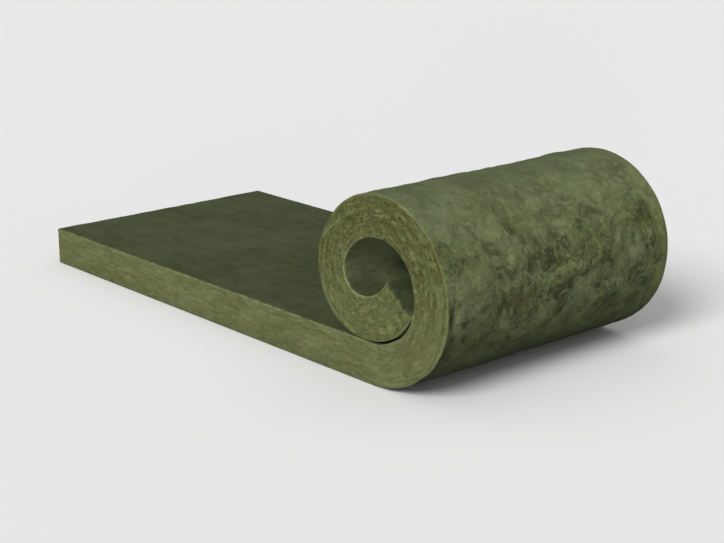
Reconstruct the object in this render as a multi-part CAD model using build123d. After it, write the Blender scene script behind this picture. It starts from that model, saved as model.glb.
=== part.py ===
from build123d import *

import math
import os

# A mineral wool loft mat, part unrolled. It lies flat along X, with its free edge at the -X end.
# At the +X end it lifts off the floor and winds back over itself in a little over one turn.
# The roll's axis is parallel to Y.
# Lengths are in millimetres and angles in degrees.

# The mat
mat_width = 1000.0
mat_thickness = 140.0
flat_length = 1875.0

# The roll, as seen on its end
roll_height = 612.0
lift_radius = 275.0
lift_turn = 45.0
under_turn = 113.0
curl_turn = 58.0

# Clearances between the turns: under the inner turn, and at the outer corner of the inner end
turn_gap = 2.0
end_gap = 9.0

half_thickness = mat_thickness / 2
over_turn = 360 - lift_turn - under_turn


def rise(radius, heading_from, heading_to):
    """Height that a path gains on an arc, from one heading to another."""
    return radius * (math.cos(math.radians(heading_from)) - math.cos(math.radians(heading_to)))


def over_radius():
    """Centreline radius of the arc over the top, which brings the outer turn to the roll's height."""
    wanted = roll_height - mat_thickness - rise(lift_radius, 0, lift_turn)
    return wanted / rise(1, lift_turn, 180)


def under_radius():
    """Centreline radius of the arc down the far side, which sets the inner turn on top of the flat mat."""
    top = roll_height - half_thickness
    bottom = mat_thickness + turn_gap + half_thickness
    wanted = bottom - top - rise(over_radius(), 180, 360 - under_turn)
    return wanted / rise(1, 360 - under_turn, 360)


def outer_bends():
    """Centreline radius and turn of each bend, from the floor to the lowest point of the inner turn."""
    return [
        (lift_radius, lift_turn),
        (over_radius(), over_turn),
        (under_radius(), under_turn),
    ]


def follow(bends):
    """Centre of each bend, the heading at which it starts, and the point where the last one ends."""
    centres, headings = [], []
    point = Vector(0, half_thickness)
    heading = 0.0
    for radius, turn in bends:
        centre = point + Vector(0, radius).rotate(Axis.Z, heading)
        centres.append(centre)
        headings.append(heading)
        heading += turn
        point = centre - Vector(0, radius).rotate(Axis.Z, heading)
    return centres, headings, point


def curl_radius():
    """Centreline radius of the last bend, which leaves the end gap beyond the cut's outer corner."""
    centres, _, lowest = follow(outer_bends())
    over_centre = centres[1]
    # The corner lies at corner_start + radius * way from the centre of the arc over the top.
    way = Vector(math.sin(math.radians(curl_turn)), rise(1, 0, curl_turn))
    corner_start = lowest - over_centre + Vector(0, -half_thickness).rotate(Axis.Z, curl_turn)
    reach = over_radius() - half_thickness - end_gap
    along = corner_start.dot(way)
    beyond = corner_start.dot(corner_start) - reach**2
    return (math.sqrt(along**2 - way.dot(way) * beyond) - along) / way.dot(way)


def bends():
    """Centreline radius and turn of each bend, from the floor to the inner end."""
    return [*outer_bends(), (curl_radius(), curl_turn)]


def wound_faces():
    """Edges of the outer and the inner face through every bend, both in order from the floor inwards."""
    outer, inner = [], []
    centres, headings, _ = follow(bends())
    for (radius, turn), centre, heading in zip(bends(), centres, headings):
        outer.append(CenterArc(centre, radius + half_thickness, heading - 90, turn))
        inner.append(CenterArc(centre, radius - half_thickness, heading - 90, turn))
    return outer, inner


def mat_section():
    """The mat's end outline: the flat run and the turn, with a square cut at each end."""
    outer, inner = wound_faces()
    underside = Line((-flat_length, 0), (0, 0))
    topside = Line((-flat_length, mat_thickness), (0, mat_thickness))
    inner_cut = Line(outer[-1] @ 1, inner[-1] @ 1)
    free_cut = Line((-flat_length, mat_thickness), (-flat_length, 0))
    return make_face([underside, *outer, inner_cut, *inner, topside, free_cut])


def wool_mat():
    """The whole mat, one piece of wool, standing on the floor with its box centred on the origin."""
    mat = extrude(Plane.XZ * mat_section(), amount=mat_width / 2, both=True)
    box = mat.bounding_box()
    return Pos(X=-(box.min.X + box.max.X) / 2) * mat


def main():
    os.makedirs("parts", exist_ok=True)
    mat = wool_mat()
    mat.label = "wool_mat"
    export_step(mat, "parts/wool_mat.step")

    box = mat.bounding_box()
    run = flat_length + sum(math.radians(turn) * radius for radius, turn in bends())
    print(f"bend radii and turns: {[(round(r, 1), round(t, 1)) for r, t in bends()]}")
    print(f"mat length along its middle: {run:.0f} mm")
    print(f"volume: {mat.volume / 1e9:.4f} m3, valid: {mat.is_valid}")
    print(f"box: {box.min} to {box.max}")


main()
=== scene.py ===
import math
from types import SimpleNamespace

import bpy
import numpy as np
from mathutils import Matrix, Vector


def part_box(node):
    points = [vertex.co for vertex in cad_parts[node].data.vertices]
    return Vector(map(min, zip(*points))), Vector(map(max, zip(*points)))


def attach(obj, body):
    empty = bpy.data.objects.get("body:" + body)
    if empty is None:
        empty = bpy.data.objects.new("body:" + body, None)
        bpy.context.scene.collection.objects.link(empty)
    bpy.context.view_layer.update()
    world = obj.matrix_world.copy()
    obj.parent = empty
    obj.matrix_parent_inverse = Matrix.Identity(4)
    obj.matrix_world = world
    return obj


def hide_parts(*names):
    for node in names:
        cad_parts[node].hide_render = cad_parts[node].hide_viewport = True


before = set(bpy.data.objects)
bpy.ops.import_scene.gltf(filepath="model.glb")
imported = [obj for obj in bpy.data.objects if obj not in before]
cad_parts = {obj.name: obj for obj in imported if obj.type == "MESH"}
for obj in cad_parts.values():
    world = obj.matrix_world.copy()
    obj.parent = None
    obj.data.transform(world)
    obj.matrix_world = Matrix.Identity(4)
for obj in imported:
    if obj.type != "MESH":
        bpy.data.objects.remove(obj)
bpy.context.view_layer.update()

# The mat, in metres. Its middle runs along the floor and then round four bends, each a radius and a turn in
# degrees. Places on the wound part are told by how far past the lift-off they lie, along the mat's middle:
# the roll's front stands upright at 0.40, its top lies at 0.76 and its back at 1.08, and the inner turn is
# lowest at 1.29 and ends at 1.50.
MAT_WIDTH = 1.0
MAT_THICKNESS = 0.14
FLAT_LENGTH = 1.875
LIFT_BEND = (0.275, 45.0)
OVER_BEND = (0.2293, 202.0)
UNDER_BEND = (0.1368, 113.0)
CURL_BEND = (0.1999, 58.0)
BENDS = (LIFT_BEND, OVER_BEND, UNDER_BEND, CURL_BEND)
MAT_LENGTH = FLAT_LENGTH + sum(radius * math.radians(turn) for radius, turn in BENDS)
HALF_WIDTH = MAT_WIDTH / 2
HALF_THICKNESS = MAT_THICKNESS / 2

# The ways on the flat mat, as columns, and how close two places lie that count as the same, in metres
ALONG = 0
ACROSS = 1
DEEP = 2
SAME_PLACE = 1e-5

# How finely the mat's surface is divided, and how many degrees of a bend one straight step of its path takes
CUTS_ACROSS = 93
CUTS_DEEP = 31
CUTS_ALONG = (19, 21)
EDGE_ROUND = 0.006
EDGE_STEPS = 2
PATH_STEP = 1.5

# How closely the drawn-out relief of the cut sides lies each way, next to metres
GRAIN_ALONG = 3
GRAIN_ACROSS = 3
GRAIN_DEEP = 16

# How large each part of the unfolded mat is drawn on its square map, and where the map's right part starts
MAP_GAP = 0.004
MAP_TOPSIDE = (1 - 2 * MAP_GAP) / MAT_LENGTH
MAP_CUT_SIDE = 2 * MAP_TOPSIDE
MAP_OUTER_FACE = 0.345
MAP_UNDERSIDE = 0.22
MAP_END = 0.4
MAP_RIGHT_PART = 0.55

# The wool's tints, written in 0 to 255. A row of them runs along a pattern, each at its own place in it.
FELT = ((0.28, (58, 63, 34)), (0.44, (87, 94, 57)), (0.56, (101, 110, 72)), (0.74, (124, 132, 92)))
# The topside's tints are darker than the outer face's: partly its own felt, partly painted shade.
TOPSIDE_FELT_AND_SHADE = ((0.32, (41, 46, 24)), (0.50, (51, 57, 33)), (0.68, (62, 68, 42)))
CUT_LAYERS = ((0.30, (48, 48, 21)), (0.43, (82, 84, 43)), (0.54, (105, 110, 64)), (0.68, (152, 155, 106)))
TINTS = {
    "green patch": (104, 115, 78),
    "smooth top": (103, 113, 80),
    "broad shade": (78, 86, 52),
    "broad light": (118, 128, 94),
    "olive cloud": (80, 82, 42),
    "crease": (54, 58, 31),
    "blot": (44, 48, 24),
    "puff": (122, 131, 86),
    "pale curl": (127, 136, 100),
    "laid fibre": (140, 146, 108),
    "dark fleck": (52, 56, 29),
    "pale fleck": (140, 147, 106),
    "far rim": (116, 119, 72),
    # painted shade low on the roll's front, toward the floor
    "painted shade low down": (42, 48, 26),
    "behind the top": (74, 84, 56),
    # painted shade in the fold behind the near rim
    "fold": (34, 38, 22),
    # painted shade on the outer face along the near rim
    "painted shade behind the rim": (40, 44, 26),
    # the topside's tints, darker partly by painted shade
    "topside haze": (69, 75, 50),
    "topside crease": (34, 38, 20),
    "topside fibre": (92, 99, 68),
    # painted light on the wall of the hollow, where the wool lies in shade
    "painted light on the inside wall": (142, 152, 114),
    "brown band": (83, 82, 42),
    "green of the cut": (98, 110, 72),
    "brown mottle": (76, 71, 33),
    "cut of the curl": (112, 120, 76),
    "cut of the flat run": (114, 119, 79),
    "haze of the flat run": (122, 125, 89),
    "foot of the flat run": (72, 82, 50),
    "speck": (48, 43, 20),
    "hair": (158, 160, 110),
    # pale fuzzy edge along the arrises, partly painted highlight
    "fuzz and edge highlight": (152, 155, 108),
    # painted shade on the torn inner end
    "painted shade on the torn end": (62, 71, 45),
    "sheen": (190, 200, 160),
}

# How far the wool's finest pattern stands out, in metres
FINE_RELIEF = 0.005

# The camera stands where the photograph was taken from, turned to the mat's middle with a longer lens
EYE = (4.2086, -3.5569, 1.7007)
AIM = (0.146, 0.007, 0.137)
LENS = 78

# The studio. A level is the share of its written colour that a surface facing that light shows, and softness
# is in degrees.
KEY_WAY = (0.25, -0.75, 0.61)
KEY_LEVEL = 0.69
KEY_SOFTNESS = 28
FILL_WAY = (0.67, -0.74, 0.05)
FILL_LEVEL = 0.19
FILL_SOFTNESS = 10
LAMP_DISTANCE = 5
ROUND_LEVEL = 0.40
BACKGROUND_LEVEL = 0.80
FLOOR_SIZE = 120
FLOOR_SEEN = (0.97, 0.97, 0.97, 1)
FLOOR_THROWN_BACK = (0.32, 0.32, 0.32, 1)


def start_afresh():
    """Leaves edit mode and selects nothing."""
    if bpy.context.mode != "OBJECT":
        bpy.ops.object.mode_set(mode="OBJECT")
    bpy.ops.object.select_all(action="DESELECT")


def pick(piece):
    """Makes one piece the only selected one, and the active one."""
    start_afresh()
    piece.select_set(True)
    bpy.context.view_layer.objects.active = piece


def choose(piece, kind, chosen):
    """Selects a piece's edges or faces in edit mode, by a list of yes and no."""
    pick(piece)
    bpy.ops.object.mode_set(mode="EDIT")
    bpy.ops.mesh.select_mode(type=kind)
    bpy.ops.mesh.select_all(action="DESELECT")
    bpy.ops.object.mode_set(mode="OBJECT")
    parts = piece.data.edges if kind == "EDGE" else piece.data.polygons
    parts.foreach_set("select", chosen)
    bpy.ops.object.mode_set(mode="EDIT")


def places(piece):
    """Where each vertex is, one row of three numbers each."""
    found = np.empty(len(piece.data.vertices) * 3)
    piece.data.vertices.foreach_get("co", found)
    return found.reshape(-1, 3)


def face_numbers(mesh, name):
    """One row of three numbers for each face."""
    found = np.empty(len(mesh.polygons) * 3)
    mesh.polygons.foreach_get(name, found)
    return found.reshape(-1, 3)


def corner_places(piece):
    """Where each face's corners are, one row of three numbers each."""
    corners = np.empty(len(piece.data.loops), int)
    piece.data.loops.foreach_get("vertex_index", corners)
    return places(piece)[corners]


def cut_along(piece, way, cuts, shortest):
    """Divides every edge that runs that way and is at least that long."""
    ends = np.empty(len(piece.data.edges) * 2, int)
    piece.data.edges.foreach_get("vertices", ends)
    step = np.abs(np.diff(places(piece)[ends.reshape(-1, 2)], axis=1)[:, 0])
    straight = np.delete(step, way, axis=1).max(1) < SAME_PLACE
    choose(piece, "EDGE", straight & (step[:, way] > shortest))
    bpy.ops.mesh.subdivide(number_cuts=cuts)
    bpy.ops.object.mode_set(mode="OBJECT")


def flat_mat():
    """The mat before it is wound: a long block with its arrises eased, divided for the relief."""
    start_afresh()
    bpy.ops.mesh.primitive_cube_add(size=1, location=(MAT_LENGTH / 2, 0, 0))
    mat = bpy.context.object
    mat.name = "wool_mat_soft"
    bpy.ops.transform.resize(value=(MAT_LENGTH, MAT_WIDTH, MAT_THICKNESS))
    bpy.ops.object.transform_apply(location=True, rotation=True, scale=True)
    bpy.ops.object.mode_set(mode="EDIT")
    bpy.ops.mesh.select_all(action="SELECT")
    bpy.ops.mesh.bevel(offset=EDGE_ROUND, segments=EDGE_STEPS, affect="EDGES")
    bpy.ops.object.mode_set(mode="OBJECT")
    cut_along(mat, ACROSS, CUTS_ACROSS, MAT_WIDTH / 2)
    cut_along(mat, DEEP, CUTS_DEEP, MAT_THICKNESS / 2)
    for cuts in CUTS_ALONG:
        cut_along(mat, ALONG, cuts, MAT_LENGTH / 50)
    return mat


def remember_flat(mat):
    """Keeps where each point lies on the flat mat, so that the wool's pattern winds up with it."""
    flat = mat.data.attributes.new("flat", "FLOAT_VECTOR", "POINT")
    flat.data.foreach_set("vector", places(mat).ravel())


def lay_grain(mat):
    """A map for relief that is drawn out along the mat: from face to face it is much closer than along."""
    grain = mat.data.uv_layers.new(name="grain")
    along, across, deep = corner_places(mat).T
    rise = deep * GRAIN_DEEP + across * GRAIN_ACROSS
    grain.uv.foreach_set("vector", np.stack([along * GRAIN_ALONG, rise], 1).ravel())


def lay_bake_map(mat):
    """Unfolds the flat mat onto a square: the cut sides largest, in two rows each, the underside smallest."""
    mesh = mat.data
    corners_each = np.empty(len(mesh.polygons), int)
    mesh.polygons.foreach_get("loop_total", corners_each)
    normals = np.repeat(face_numbers(mesh, "normal"), corners_each, axis=0)
    middles = np.repeat(face_numbers(mesh, "center"), corners_each, axis=0)[:, ALONG]
    along, across, deep = corner_places(mat).T
    past_half = along - MAT_LENGTH / 2
    past_lift = along - FLAT_LENGTH
    from_near = across + HALF_WIDTH
    from_underside = deep + HALF_THICKNESS
    spread = np.zeros((len(along), 2))

    def lay(chosen, run, rise, left, bottom, scale):
        """Lays the chosen corners down from a left lower place, and says where the next row may start."""
        spread[chosen] = np.stack([left + run * scale, bottom + rise * scale], 1)[chosen]
        return bottom + np.ptp(rise) * scale + MAP_GAP

    way = np.argmax(np.abs(normals), axis=1)
    positive = normals.sum(1) > 0
    first_half = middles < MAT_LENGTH / 2
    on_floor = middles < FLAT_LENGTH
    shelf = lay((way == DEEP) & positive, along, from_near, MAP_GAP, MAP_GAP, MAP_TOPSIDE)
    for side in (~positive, positive):
        on_side = (way == ACROSS) & side
        shelf = lay(on_side & first_half, along, from_underside, MAP_GAP, shelf, MAP_CUT_SIDE)
        shelf = lay(on_side & ~first_half, past_half, from_underside, MAP_GAP, shelf, MAP_CUT_SIDE)
    outer = (way == DEEP) & ~positive
    lay(outer & ~on_floor, past_lift, from_near, MAP_GAP, shelf, MAP_OUTER_FACE)
    shelf = lay(outer & on_floor, along, from_near, MAP_RIGHT_PART, shelf, MAP_UNDERSIDE)
    for end in (~positive, positive):
        shelf = lay((way == ALONG) & end, from_near, from_underside, MAP_RIGHT_PART, shelf, MAP_END)
    mesh.uv_layers.new(name="OFBake").uv.foreach_set("vector", spread.ravel())


def clouds(name, size, depth=2):
    """Soft uneven lumps of about that size, in metres."""
    lumps = bpy.data.textures.new(name, "CLOUDS")
    lumps.noise_scale = size
    lumps.noise_depth = depth
    return lumps


def press(mat, name, weight, amount, direction="NORMAL", texture=None, coords="LOCAL"):
    """Moves the mat's points along a direction, each as far as its weight from 0 to 1 says."""
    pick(mat)
    group = mat.vertex_groups.new(name=name)
    for index in np.flatnonzero(weight > 0.002):
        group.add([int(index)], float(weight[index]), "REPLACE")
    push = mat.modifiers.new(name, "DISPLACE")
    push.vertex_group = group.name
    push.direction = direction
    push.strength = amount
    push.texture = texture
    push.texture_coords = coords
    push.mid_level = 0.5 if texture else 0
    if coords == "UV":
        push.uv_layer = "grain"
    bpy.ops.object.modifier_apply(modifier=push.name)
    mat.vertex_groups.clear()


def ease(value, start, end):
    """From 0 at start to 1 at end, smoothly."""
    part = np.clip((value - start) / (end - start), 0, 1)
    return part * part * (3 - 2 * part)


def hump(value, middle, reach):
    """1 at the middle, easing to 0 at its reach on both sides."""
    return ease(np.abs(value - middle), reach, 0)


def uneven_wall(mat):
    """Gives the wound part its uneven thickness and fullness, by how far past the lift-off a place is."""
    along, across, deep = places(mat).T
    past = along - FLAT_LENGTH
    inner = deep / MAT_THICKNESS + 0.5
    outer_face = ease(inner, 0.5, 0)
    far = across / MAT_WIDTH + 0.5
    for name, weight, amount in (
        ("thin_left_wall", inner * hump(past, 1.04, 0.30), -0.015),
        ("thick_right_wall", inner * hump(past, 0.40, 0.34), 0.008),
        ("full_under_curl", inner * hump(past, 0.13, 0.10), 0.004),
        ("full_curl", (1 - inner) * hump(past, 1.41, 0.13), -0.009),
        ("full_top", hump(past, 0.86, 0.32), -0.006),
        ("flared_far_end", ease(far, 0.55, 1) * hump(past, 0.50, 0.42), -0.020),
    ):
        press(mat, name, weight, amount, "Z")
    near_rim = ease(far, 0.012, 0) * outer_face * hump(past, 0.30, 0.30)
    press(mat, "nicked_rim", near_rim, 0.019, "Z", texture=clouds("nicked_rim", 0.06, 1))
    behind_rim = hump(far, 0.027, 0.018) * outer_face * hump(past, 0.375, 0.05)
    press(mat, "fold_behind_rim", behind_rim, 0.016, "Z")


def uneven_face(mat):
    """Gives the mat wool's relief: waves, lumps and tufts on the faces, drawn-out layers on the cut sides."""
    along, across, deep = places(mat).T
    past = along - FLAT_LENGTH
    inner = deep / MAT_THICKNESS + 0.5
    on_side = ease(np.abs(across), HALF_WIDTH - EDGE_ROUND, HALF_WIDTH - EDGE_ROUND / 3)
    # The underside lies flat on the floor, and where the inner turn lies on the mat both stay smooth.
    on_floor = ease(past, 0.16, 0.04) * ease(inner, 0.9, 0.5)
    rests = ease(inner, 0.4, 0.9) * hump(past, -0.05, 0.35)
    lies = ease(inner, 0.6, 0.1) * ease(past, 1.05, 1.2)
    pressed_flat = 0.6 * ease(past, 0.15, -0.25)
    free = (1 - on_floor) * (1 - 0.85 * rests) * (1 - 0.85 * lies) * (1 - pressed_flat)
    # The rims stay calmer than the faces, so that they keep a clean outline.
    off_arris = ease(HALF_THICKNESS - np.abs(deep), 0.002, 0.018)
    near_rims = ease(np.abs(across), HALF_WIDTH - 0.10, HALF_WIDTH - 0.02) * (1 - on_side * off_arris)
    press(mat, "waves", free * (1 - 0.4 * near_rims), 0.006, texture=clouds("waves", 0.28))
    press(mat, "lumps", free * (1 - 0.6 * near_rims), 0.007, texture=clouds("lumps", 0.07))
    press(mat, "tufts", free * (1 - 0.6 * near_rims), 0.004, texture=clouds("tufts", 0.034, 1))
    cut_way = on_side * off_arris * (1 - 0.7 * on_floor)
    press(mat, "grain", cut_way, 0.008, texture=clouds("grain", 0.25), coords="UV")
    press(mat, "pocks", cut_way * ease(past, 1.05, 1.2), 0.006, texture=clouds("pocks", 0.018, 1))
    mat.data.uv_layers.remove(mat.data.uv_layers["grain"])


def torn_end(mat):
    """Tears the inner end: its inner face reaches furthest, and its layers step back one after another."""
    along, across, deep = places(mat).T
    inner = deep / MAT_THICKNESS + 0.5
    near_end = ease(MAT_LENGTH - along, 0.028, 0)
    # Some three and a half layers, whose edges wander across the mat
    layer = inner * 3.6 + 0.35 * np.sin(across * 11) + 0.2 * np.sin(across * 29 + 1)
    step = layer - np.floor(layer)
    press(mat, "long_inner_face", near_end * inner, 0.008, "X")
    press(mat, "pointed_tip", near_end * ease(inner, 0.72, 1), 0.010, "X")
    press(mat, "stepped_layers", near_end * (1 - step) * ease(inner, 0.02, 0.3), -0.010, "X")
    on_end = ease(MAT_LENGTH - along, 0.016, 0)
    press(mat, "ragged_end", on_end, 0.014, "X", texture=clouds("ragged_end", 0.022, 1))


def plain_underside(mat):
    """Takes out the divisions of the flat run's underside, which is level and lies on the floor."""
    along, _, deep = face_numbers(mat.data, "center").T
    choose(mat, "FACE", (deep < -HALF_THICKNESS + SAME_PLACE) & (along < FLAT_LENGTH - 0.02))
    bpy.ops.mesh.dissolve_limited(angle_limit=math.radians(1), delimit={"UV"})
    bpy.ops.object.mode_set(mode="OBJECT")


def wound_stops():
    """The stops of the line that the mat's middle follows: along the floor, then round each bend."""
    low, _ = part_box("wool_mat")
    place = Vector((low.x, 0, HALF_THICKNESS))
    heading = 0.0
    lift_off = place + Vector((FLAT_LENGTH, 0, 0))
    # A stop just before the lift-off keeps the flat run level up to there.
    stops = [place, lift_off - Vector((0.001, 0, 0)), lift_off]
    for radius, turn in BENDS:
        steps = round(turn / PATH_STEP)
        swing = turn / steps
        chord = 2 * radius * math.sin(math.radians(swing / 2))
        for _ in range(steps):
            middle = math.radians(heading + swing / 2)
            stops.append(stops[-1] + chord * Vector((math.cos(middle), 0, math.sin(middle))))
            heading += swing
    return stops


def wound_path():
    """The line that the mat's middle follows, as a curve."""
    stops = wound_stops()
    line = bpy.data.curves.new("wound_path", "CURVE")
    line.dimensions = "3D"
    line.twist_mode = "MINIMUM"
    spline = line.splines.new("POLY")
    spline.points.add(len(stops) - 1)
    for point, stop in zip(spline.points, stops):
        point.co = (*stop, 1)
    path = bpy.data.objects.new("wound_path", line)
    bpy.context.collection.objects.link(path)
    return path


def wind_up(mat):
    """Bends the flat mat along its path, and throws the path away."""
    path = wound_path()
    pick(mat)
    bend = mat.modifiers.new("wound", "CURVE")
    bend.object = path
    bend.deform_axis = "POS_X"
    bpy.ops.object.modifier_apply(modifier=bend.name)
    bpy.data.objects.remove(path)


def paint(red, green, blue):
    """A colour written in 0 to 255, as Blender's linear numbers."""
    parts = [c / 255 for c in (red, green, blue)]
    return (*(c / 12.92 if c <= 0.04045 else ((c + 0.055) / 1.055) ** 2.4 for c in parts), 1)


def node(tree, kind, inputs=None, **settings):
    """A shader node with its settings. An input is a plain value or another node's output."""
    made = tree.nodes.new("ShaderNode" + kind)
    for name, value in settings.items():
        setattr(made, name, value)
    for name, value in (inputs or {}).items():
        if isinstance(value, bpy.types.NodeSocket):
            tree.links.new(value, made.inputs[name])
        else:
            made.inputs[name].default_value = value
    return made


def sums(tree, operation, *values):
    """One step of arithmetic."""
    return node(tree, "Math", dict(enumerate(values)), operation=operation).outputs[0]


def times(tree, first, *others):
    """The product of two or more values."""
    product = first
    for value in others:
        product = sums(tree, "MULTIPLY", product, value)
    return product


def most(tree, first, second):
    """The larger of two values."""
    return sums(tree, "MAXIMUM", first, second)


def apart(tree, first, second):
    """How far apart two values are."""
    return sums(tree, "ABSOLUTE", sums(tree, "SUBTRACT", first, second))


def lack(tree, value):
    """What a value lacks to 1."""
    return sums(tree, "SUBTRACT", 1.0, value)


def between(tree, value, start, end, low=0.0, high=1.0):
    """Eases from low to high as the value goes from start to end."""
    inputs = {"Value": value, "From Min": start, "From Max": end, "To Min": low, "To Max": high}
    return node(tree, "MapRange", inputs, interpolation_type="SMOOTHSTEP").outputs["Result"]


def close_to(tree, value, middle, reach):
    """1 at the middle, easing to 0 at its reach on both sides."""
    return between(tree, apart(tree, value, middle), reach, 0)


def mixed(tree, share, first, second):
    """A value that goes from the first to the second as the share goes from 0 to 1."""
    return node(tree, "Mix", {0: share, 2: first, 3: second}, data_type="FLOAT").outputs[0]


def noise(tree, flat, scales, detail=3.0, rough=0.55, bend=0.0):
    """Uneven pattern on the flat mat, with so many lumps to the metre along, across and deep."""
    drawn = node(tree, "VectorMath", {0: flat, 1: scales}, operation="MULTIPLY").outputs[0]
    inputs = {"Vector": drawn, "Scale": 1.0, "Detail": detail, "Roughness": rough, "Distortion": bend}
    return node(tree, "TexNoise", inputs).outputs["Fac"]


def stirred(tree, flat, size, reach):
    """The flat mat's places, each moved by up to that reach, so that a pattern laid on them swirls."""
    eddies = node(tree, "TexNoise", {"Vector": flat, "Scale": 1 / size, "Detail": 1.0}).outputs["Color"]
    inputs = {0: eddies, 1: (2 * reach,) * 3, 2: flat}
    return node(tree, "VectorMath", inputs, operation="MULTIPLY_ADD").outputs[0]


def shades(tree, value, row):
    """Tints along a value: each one of the row has its place and its colour."""
    ramp = node(tree, "ValToRGB", {"Fac": value})
    steps = ramp.color_ramp.elements
    while len(steps) < len(row):
        steps.new(0.5)
    for step, (place, tint) in zip(steps, row):
        step.position = place
        step.color = paint(*tint)
    return ramp.outputs["Color"]


def blend(tree, share, under, over):
    """The under colour with the over one laid on it, as far as the share says."""
    mixed_colour = node(tree, "Mix", data_type="RGBA")
    for name, value in (("Factor_Float", share), ("A_Color", under), ("B_Color", over)):
        socket = next(s for s in mixed_colour.inputs if s.identifier == name)
        if isinstance(value, bpy.types.NodeSocket):
            tree.links.new(value, socket)
        else:
            socket.default_value = value
    return next(s for s in mixed_colour.outputs if s.identifier == "Result_Color")


def coat(tree, under, tint, share):
    """A colour with one of the wool's tints laid on it, as far as the share says."""
    return blend(tree, share, under, paint(*TINTS[tint]))


def wool_places(tree):
    """Where a point of the wool lies on the flat mat, and how near it is to each face."""
    flat = node(tree, "Attribute", attribute_name="flat").outputs["Vector"]
    along, across, deep = node(tree, "SeparateXYZ", {0: flat}).outputs
    inner = between(tree, deep, -0.02, 0.05)
    return SimpleNamespace(
        flat=flat,
        along=along,
        across=across,
        deep=deep,
        past=sums(tree, "SUBTRACT", along, FLAT_LENGTH),
        off_middle=sums(tree, "ABSOLUTE", across),
        inner=inner,
        outer=lack(tree, inner),
    )


def laid_fibres(tree, flat):
    """Fine fibres laid several ways on the wide faces, each way in its own patches: the strongest shows."""
    strongest = 0.0
    for turn in (12, 57, 101, 148):
        inputs = {"Vector": flat, "Angle": math.radians(turn)}
        lying = node(tree, "VectorRotate", inputs, rotation_type="Z_AXIS").outputs[0]
        hairs = noise(tree, lying, (34, 420, 420), detail=2, rough=0.6, bend=0.35)
        patch = between(tree, noise(tree, lying, (17, 17, 17), detail=1), 0.38, 0.56)
        strongest = most(tree, strongest, times(tree, between(tree, hairs, 0.50, 0.74), patch))
    return strongest


def felt_patterns(tree, flat):
    """The uneven patterns in which the wide faces' tints are laid."""
    swirls = stirred(tree, flat, 0.11, 0.035)
    eddies = stirred(tree, swirls, 0.035, 0.010)
    curls = noise(tree, eddies, (42, 27, 38), detail=3)
    return SimpleNamespace(
        patches=noise(tree, flat, (5, 6, 6), detail=2),
        worn=noise(tree, flat, (3.2, 4.2, 4), detail=2),
        broad=noise(tree, swirls, (11, 7, 9), detail=3),
        browns=noise(tree, swirls, (8, 5, 7), detail=4, rough=0.6),
        trails=noise(tree, swirls, (5, 24, 22), detail=5, rough=0.6),
        hazes=noise(tree, swirls, (4.5, 5, 5), detail=3),
        matted=noise(tree, eddies, (26, 17, 24), detail=5, rough=0.60),
        blots=noise(tree, eddies, (25, 13, 19), detail=4, rough=0.6),
        flecks=noise(tree, eddies, (62, 62, 62), detail=3, rough=0.6),
        curls=curls,
        crease=apart(tree, curls, 0.5),
        fibres=laid_fibres(tree, eddies),
    )


def matted_felt(tree, wool, seen):
    """Colour of matted felt, and its dark blots: smooth over the roll's top, and roughest halfway down."""
    calm = between(tree, wool.past, 0.43, 0.68)
    off_floor = between(tree, wool.past, 0.20, 0.37, 0.40, 1.0)
    halfway = times(tree, off_floor, between(tree, calm, 0, 1, 1.0, 0.30))
    rough = times(tree, between(tree, seen.worn, 0.36, 0.56, 0.65, 1.0), halfway)
    clouded = times(tree, between(tree, seen.browns, 0.47, 0.62, 0, 0.80), rough)
    creased = times(tree, between(tree, seen.crease, 0.032, 0.0, 0, 0.60), rough)
    blotted = times(tree, between(tree, seen.blots, 0.52, 0.63, 0, 0.95), rough)
    puffed = times(tree, between(tree, seen.blots, 0.48, 0.36, 0, 0.80), rough)
    flecked = times(tree, between(tree, seen.flecks, 0.44, 0.34, 0, 0.55), rough)

    colour = shades(tree, seen.matted, FELT)
    colour = coat(tree, colour, "green patch", between(tree, seen.patches, 0.42, 0.66, 0, 0.55))
    colour = coat(tree, colour, "smooth top", times(tree, calm, 0.45))
    colour = coat(tree, colour, "broad shade", between(tree, seen.broad, 0.50, 0.36, 0, 0.45))
    colour = coat(tree, colour, "broad light", between(tree, seen.broad, 0.52, 0.66, 0, 0.45))
    colour = coat(tree, colour, "olive cloud", clouded)
    colour = coat(tree, colour, "crease", creased)
    colour = coat(tree, colour, "blot", blotted)
    colour = coat(tree, colour, "puff", puffed)
    colour = coat(tree, colour, "pale curl", between(tree, seen.curls, 0.57, 0.72, 0, 0.45))
    colour = coat(tree, colour, "laid fibre", times(tree, seen.fibres, 0.36))
    colour = coat(tree, colour, "dark fleck", flecked)
    colour = coat(tree, colour, "pale fleck", between(tree, seen.flecks, 0.58, 0.68, 0, 0.40))
    return colour, blotted


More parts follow.
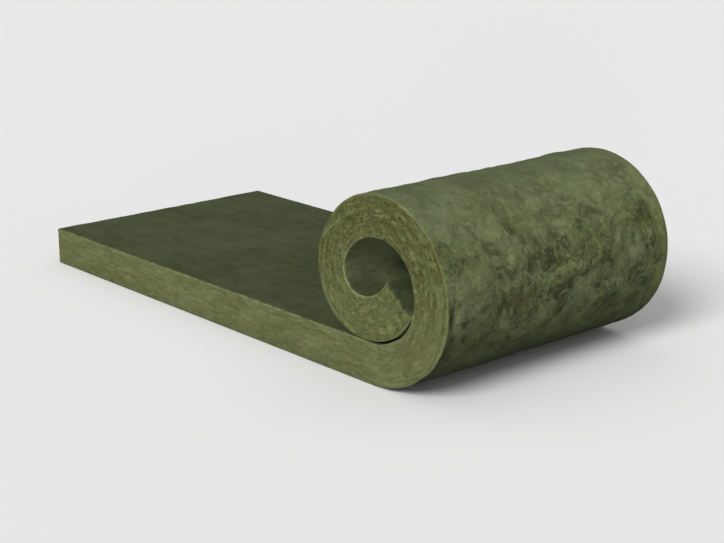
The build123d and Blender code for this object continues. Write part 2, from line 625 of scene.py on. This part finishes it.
def outer_shades(tree, wool, colour):
    """Outer face: pales the far rim, darkens behind the top, paints shade low down and by the near rim."""
    past = wool.past
    across = wool.across
    outer = wool.outer
    far_rim = between(tree, across, HALF_WIDTH - 0.080, HALF_WIDTH - 0.010, 0, 0.35)
    colour = coat(tree, colour, "far rim", times(tree, far_rim, outer))
    # Painted shade low on the roll's front, toward the floor.
    low = between(tree, past, 0.37, 0.12, 0, 0.76)
    colour = coat(tree, colour, "painted shade low down", times(tree, low, outer))
    behind = between(tree, past, 0.61, 0.76, 0, 0.45)
    colour = coat(tree, colour, "behind the top", times(tree, behind, outer))
    # Painted shade in the fold just behind the near rim, on the roll's front.
    across_fold = close_to(tree, across, 0.026 - HALF_WIDTH, 0.018)
    shade_in_fold = times(tree, close_to(tree, past, 0.375, 0.05), across_fold, outer, 0.75)
    colour = coat(tree, colour, "fold", shade_in_fold)
    # Painted shade on the outer face along the near rim, on the roll's lower front.
    near_rim = between(tree, across, 0.09 - HALF_WIDTH, 0.02 - HALF_WIDTH, 0, 0.40)
    shade_by_rim = times(tree, near_rim, outer, close_to(tree, past, 0.28, 0.15))
    return coat(tree, colour, "painted shade behind the rim", shade_by_rim)


def topside_felt_and_shade(tree, seen):
    """Colour of the flat run's topside: darker, partly painted shade, with faint streaks along the mat and
    hazes.
    """
    colour = shades(tree, seen.trails, TOPSIDE_FELT_AND_SHADE)
    colour = coat(tree, colour, "topside haze", between(tree, seen.hazes, 0.44, 0.64, 0, 0.6))
    colour = coat(tree, colour, "topside crease", between(tree, seen.crease, 0.026, 0.0, 0, 0.28))
    return coat(tree, colour, "topside fibre", times(tree, seen.fibres, 0.34))


def inner_shades(tree, wool, seen, colour):
    """Darkens the inner face on the flat run and in the curl, partly painted shade; paints light on the
    hollow's wall.
    """
    past = wool.past
    # Painted light on the hollow's overhead wall, where the wool lies in shade.
    within = between(tree, wool.off_middle, HALF_WIDTH, HALF_WIDTH - 0.14, 0.15, 0.80)
    overhead = times(tree, between(tree, past, 0.66, 0.86), between(tree, past, 1.14, 1.02), within)
    # Deep inside, the painted light on the wall reaches further down.
    deep_within = between(tree, wool.off_middle, HALF_WIDTH - 0.09, HALF_WIDTH - 0.18)
    low_wall = times(tree, deep_within, between(tree, past, 1.30, 1.18))
    pale = most(tree, overhead, times(tree, low_wall, between(tree, past, 0.98, 1.10, 0, 0.36)))
    colour = coat(tree, colour, "painted light on the inside wall", times(tree, pale, wool.inner))
    # Painted shade on the inner face in the curl; on the flat run the darker topside felt, partly painted
    # shade.
    in_curl = times(tree, between(tree, past, 1.05, 1.20, 0, 0.75), lack(tree, low_wall))
    dark = most(tree, between(tree, past, 0.65, 0.10, 0, 0.88), in_curl)
    return blend(tree, times(tree, dark, wool.inner), colour, topside_felt_and_shade(tree, seen))


def face_look(tree, wool):
    """Colour and height of the wide faces: felt with olive clouds, dark curls, pale tufts and laid fibres."""
    seen = felt_patterns(tree, wool.flat)
    colour, blotted = matted_felt(tree, wool, seen)
    colour = outer_shades(tree, wool, colour)
    colour = inner_shades(tree, wool, seen, colour)
    height = sums(tree, "MULTIPLY_ADD", seen.curls, 0.45, seen.matted)
    height = sums(tree, "MULTIPLY_ADD", seen.fibres, 0.10, height)
    return colour, sums(tree, "MULTIPLY_ADD", blotted, -0.20, height)


def cut_look(tree, wool):
    """Colour and height of the cut sides: drawn-out layers, brown mottles, dark specks and pale hairs."""
    past = wool.past
    wander = stirred(tree, wool.flat, 0.06, 0.005)
    layers = noise(tree, wander, (15, 36, 76), detail=5, rough=0.64)
    bands = noise(tree, wander, (4, 8, 34), detail=2)
    lumps = noise(tree, wander, (36, 46, 54), detail=5, rough=0.66)
    hairs = noise(tree, wander, (26, 200, 620), detail=2)
    green = noise(tree, wool.flat, (9, 9, 14), detail=2)
    hazes = noise(tree, wander, (6, 10, 17), detail=4, rough=0.6)
    mottles = noise(tree, wander, (52, 60, 95), detail=3, rough=0.6)
    specks = noise(tree, wander, (84, 100, 150), detail=4, rough=0.7)
    in_curl = between(tree, past, 1.02, 1.25)
    browned = times(tree, between(tree, past, 0.20, 0.55), between(tree, past, 1.30, 0.98))
    on_flat = between(tree, past, 0.45, 0.10)

    # The layers turn lumpy over the roll, most of all in the curl, and are faint on the flat run.
    lumpy = most(tree, times(tree, in_curl, 0.80), times(tree, browned, 0.45))
    grain = mixed(tree, lumpy, layers, lumps)
    grain = mixed(tree, between(tree, on_flat, 0, 1, 0, 0.42), grain, 0.53)
    colour = shades(tree, grain, CUT_LAYERS)
    colour = coat(tree, colour, "brown band", between(tree, bands, 0.46, 0.66, 0, 0.5))
    colour = coat(tree, colour, "green of the cut", between(tree, green, 0.46, 0.70, 0, 0.5))
    mottled = times(tree, browned, between(tree, mottles, 0.46, 0.60, 0, 0.70))
    colour = coat(tree, colour, "brown mottle", mottled)
    colour = coat(tree, colour, "cut of the curl", times(tree, in_curl, 0.30))
    colour = coat(tree, colour, "cut of the flat run", times(tree, on_flat, 0.38))
    hazy = times(tree, between(tree, hazes, 0.44, 0.62, 0, 0.55), on_flat)
    colour = coat(tree, colour, "haze of the flat run", hazy)
    low = between(tree, wool.deep, 0.0, -HALF_THICKNESS)
    low_on_flat = times(tree, low, between(tree, past, 0.05, -0.25, 0, 0.35))
    colour = coat(tree, colour, "foot of the flat run", low_on_flat)
    how_speckled = most(tree, between(tree, browned, 0, 1, 0.25, 0.88), between(tree, in_curl, 0, 1, 0, 0.62))
    speckled = times(tree, between(tree, specks, 0.55, 0.64), how_speckled)
    colour = coat(tree, colour, "speck", speckled)
    how_hairy = between(tree, on_flat, 0, 1, 0.58, 0.30)
    colour = coat(tree, colour, "hair", times(tree, between(tree, hairs, 0.56, 0.76), how_hairy))

    height = sums(tree, "MULTIPLY_ADD", hairs, 0.25, grain)
    return colour, sums(tree, "MULTIPLY_ADD", speckled, -0.25, height)


def cut_and_arris(tree, wool):
    """How far a point lies on a cut side, and how near it is to an arris, both with a frayed limit."""
    from_side = sums(tree, "SUBTRACT", HALF_WIDTH, wool.off_middle)
    from_end = sums(tree, "MINIMUM", wool.along, sums(tree, "SUBTRACT", MAT_LENGTH + 0.004, wool.along))
    from_cut = sums(tree, "MINIMUM", from_side, from_end)
    from_face = sums(tree, "SUBTRACT", HALF_THICKNESS, sums(tree, "ABSOLUTE", wool.deep))
    from_arris = most(tree, from_cut, from_face)
    fray = noise(tree, wool.flat, (30, 30, 95), detail=3)
    cut = between(tree, sums(tree, "MULTIPLY_ADD", fray, 0.010, from_cut), 0.010, 0.004)
    arris = between(tree, sums(tree, "MULTIPLY_ADD", fray, 0.012, from_arris), 0.014, 0.004)
    return cut, arris


def fuzz_and_highlight_thickness(tree, wool):
    """Pale fuzzy edge and painted highlight: thickest round the hollow, and outside low down, underneath and
    on the far rim.
    """
    past = wool.past
    round_hollow = times(tree, wool.inner, between(tree, past, 0.35, 0.60))
    low_and_under = most(tree, close_to(tree, past, 0.20, 0.22), between(tree, past, 1.0, 1.1))
    far_rim = times(tree, close_to(tree, past, 0.62, 0.25), between(tree, wool.across, 0, 0.4))
    outside = times(tree, most(tree, low_and_under, far_rim), wool.outer)
    return between(tree, most(tree, round_hollow, outside), 0, 1, 0.34, 0.80)


def wool_finish():
    """Green mineral wool: matted wide faces, layered cut sides and a pale fuzzy edge along the arrises,
    partly painted highlight.
    """
    finish = bpy.data.materials.new("mineral_wool")
    finish.use_nodes = True
    tree = finish.node_tree
    tree.nodes.clear()
    wool = wool_places(tree)
    cut, arris = cut_and_arris(tree, wool)
    face_colour, face_height = face_look(tree, wool)
    cut_colour, cut_height = cut_look(tree, wool)
    colour = blend(tree, cut, face_colour, cut_colour)
    # A pale fuzzy edge along the arrises, partly painted highlight.
    colour = coat(tree, colour, "fuzz and edge highlight", times(tree, arris, fuzz_and_highlight_thickness(tree, wool)))
    # The torn inner end faces into the roll, and its dark green is painted shade.
    end_shade = between(tree, wool.along, MAT_LENGTH - 0.007, MAT_LENGTH - 0.001)
    colour = coat(tree, colour, "painted shade on the torn end", times(tree, end_shade, 0.85))
    height = mixed(tree, cut, face_height, cut_height)
    bump = node(tree, "Bump", {"Height": height, "Distance": FINE_RELIEF, "Strength": 0.9})
    skin = node(
        tree, "BsdfPrincipled",
        {
            "Base Color": colour,
            "Roughness": 0.95,
            "Specular IOR Level": 0.15,
            "Normal": bump.outputs[0],
            "Sheen Weight": 0.06,
            "Sheen Roughness": 0.6,
            "Sheen Tint": paint(*TINTS["sheen"]),
        },
    )
    node(tree, "OutputMaterial", {"Surface": skin.outputs[0]})
    return finish


def wool_mat():
    """The mat, shaped flat and then wound, in place of its plain solid."""
    mat = flat_mat()
    remember_flat(mat)
    lay_grain(mat)
    lay_bake_map(mat)
    uneven_wall(mat)
    uneven_face(mat)
    torn_end(mat)
    plain_underside(mat)
    wind_up(mat)
    pick(mat)
    bpy.ops.object.shade_smooth()
    mat.data.materials.append(wool_finish())
    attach(mat, "root")
    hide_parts("wool_mat")


def camera():
    """The photograph's viewpoint, turned to the mat's middle."""
    bpy.ops.object.camera_add(location=EYE)
    view = bpy.context.object
    way = Vector(AIM) - view.location
    view.rotation_euler = way.to_track_quat("-Z", "Y").to_euler()
    view.data.lens = LENS
    bpy.context.scene.camera = view


def lamp(name, way, level, softness):
    """A broad lamp far off that way. At level 1 it alone shows a surface facing it at its written colour."""
    bpy.ops.object.light_add(type="SUN", location=LAMP_DISTANCE * Vector(way).normalized())
    made = bpy.context.object
    made.name = name
    made.data.energy = level * math.pi
    made.data.angle = math.radians(softness)
    made.rotation_euler = Vector(way).to_track_quat("Z", "Y").to_euler()


def studio():
    """A broad soft key from the left front, a weak low fill into the roll, and even light from all round."""
    lamp("key", KEY_WAY, KEY_LEVEL, KEY_SOFTNESS)
    lamp("fill", FILL_WAY, FILL_LEVEL, FILL_SOFTNESS)
    world = bpy.data.worlds.new("studio")
    bpy.context.scene.world = world
    world.use_nodes = True
    tree = world.node_tree
    seen = node(tree, "LightPath").outputs["Is Camera Ray"]
    strength = between(tree, seen, 0, 1, ROUND_LEVEL, BACKGROUND_LEVEL)
    tree.nodes["Background"].inputs["Color"].default_value = (1, 1, 1, 1)
    tree.links.new(strength, tree.nodes["Background"].inputs["Strength"])


def floor():
    """A plain pale floor, which the camera sees paler than the light that it throws back."""
    start_afresh()
    bpy.ops.mesh.primitive_plane_add(size=FLOOR_SIZE)
    ground = bpy.context.object
    ground.name = "floor"
    pale = bpy.data.materials.new("pale_floor")
    pale.use_nodes = True
    tree = pale.node_tree
    seen = node(tree, "LightPath").outputs["Is Camera Ray"]
    surface = tree.nodes["Principled BSDF"].inputs
    tree.links.new(blend(tree, seen, FLOOR_THROWN_BACK, FLOOR_SEEN), surface["Base Color"])
    surface["Roughness"].default_value = 0.9
    surface["Specular IOR Level"].default_value = 0.0
    ground.data.materials.append(pale)


wool_mat()
floor()
camera()
studio()
bpy.context.scene.view_settings.view_transform = "Standard"
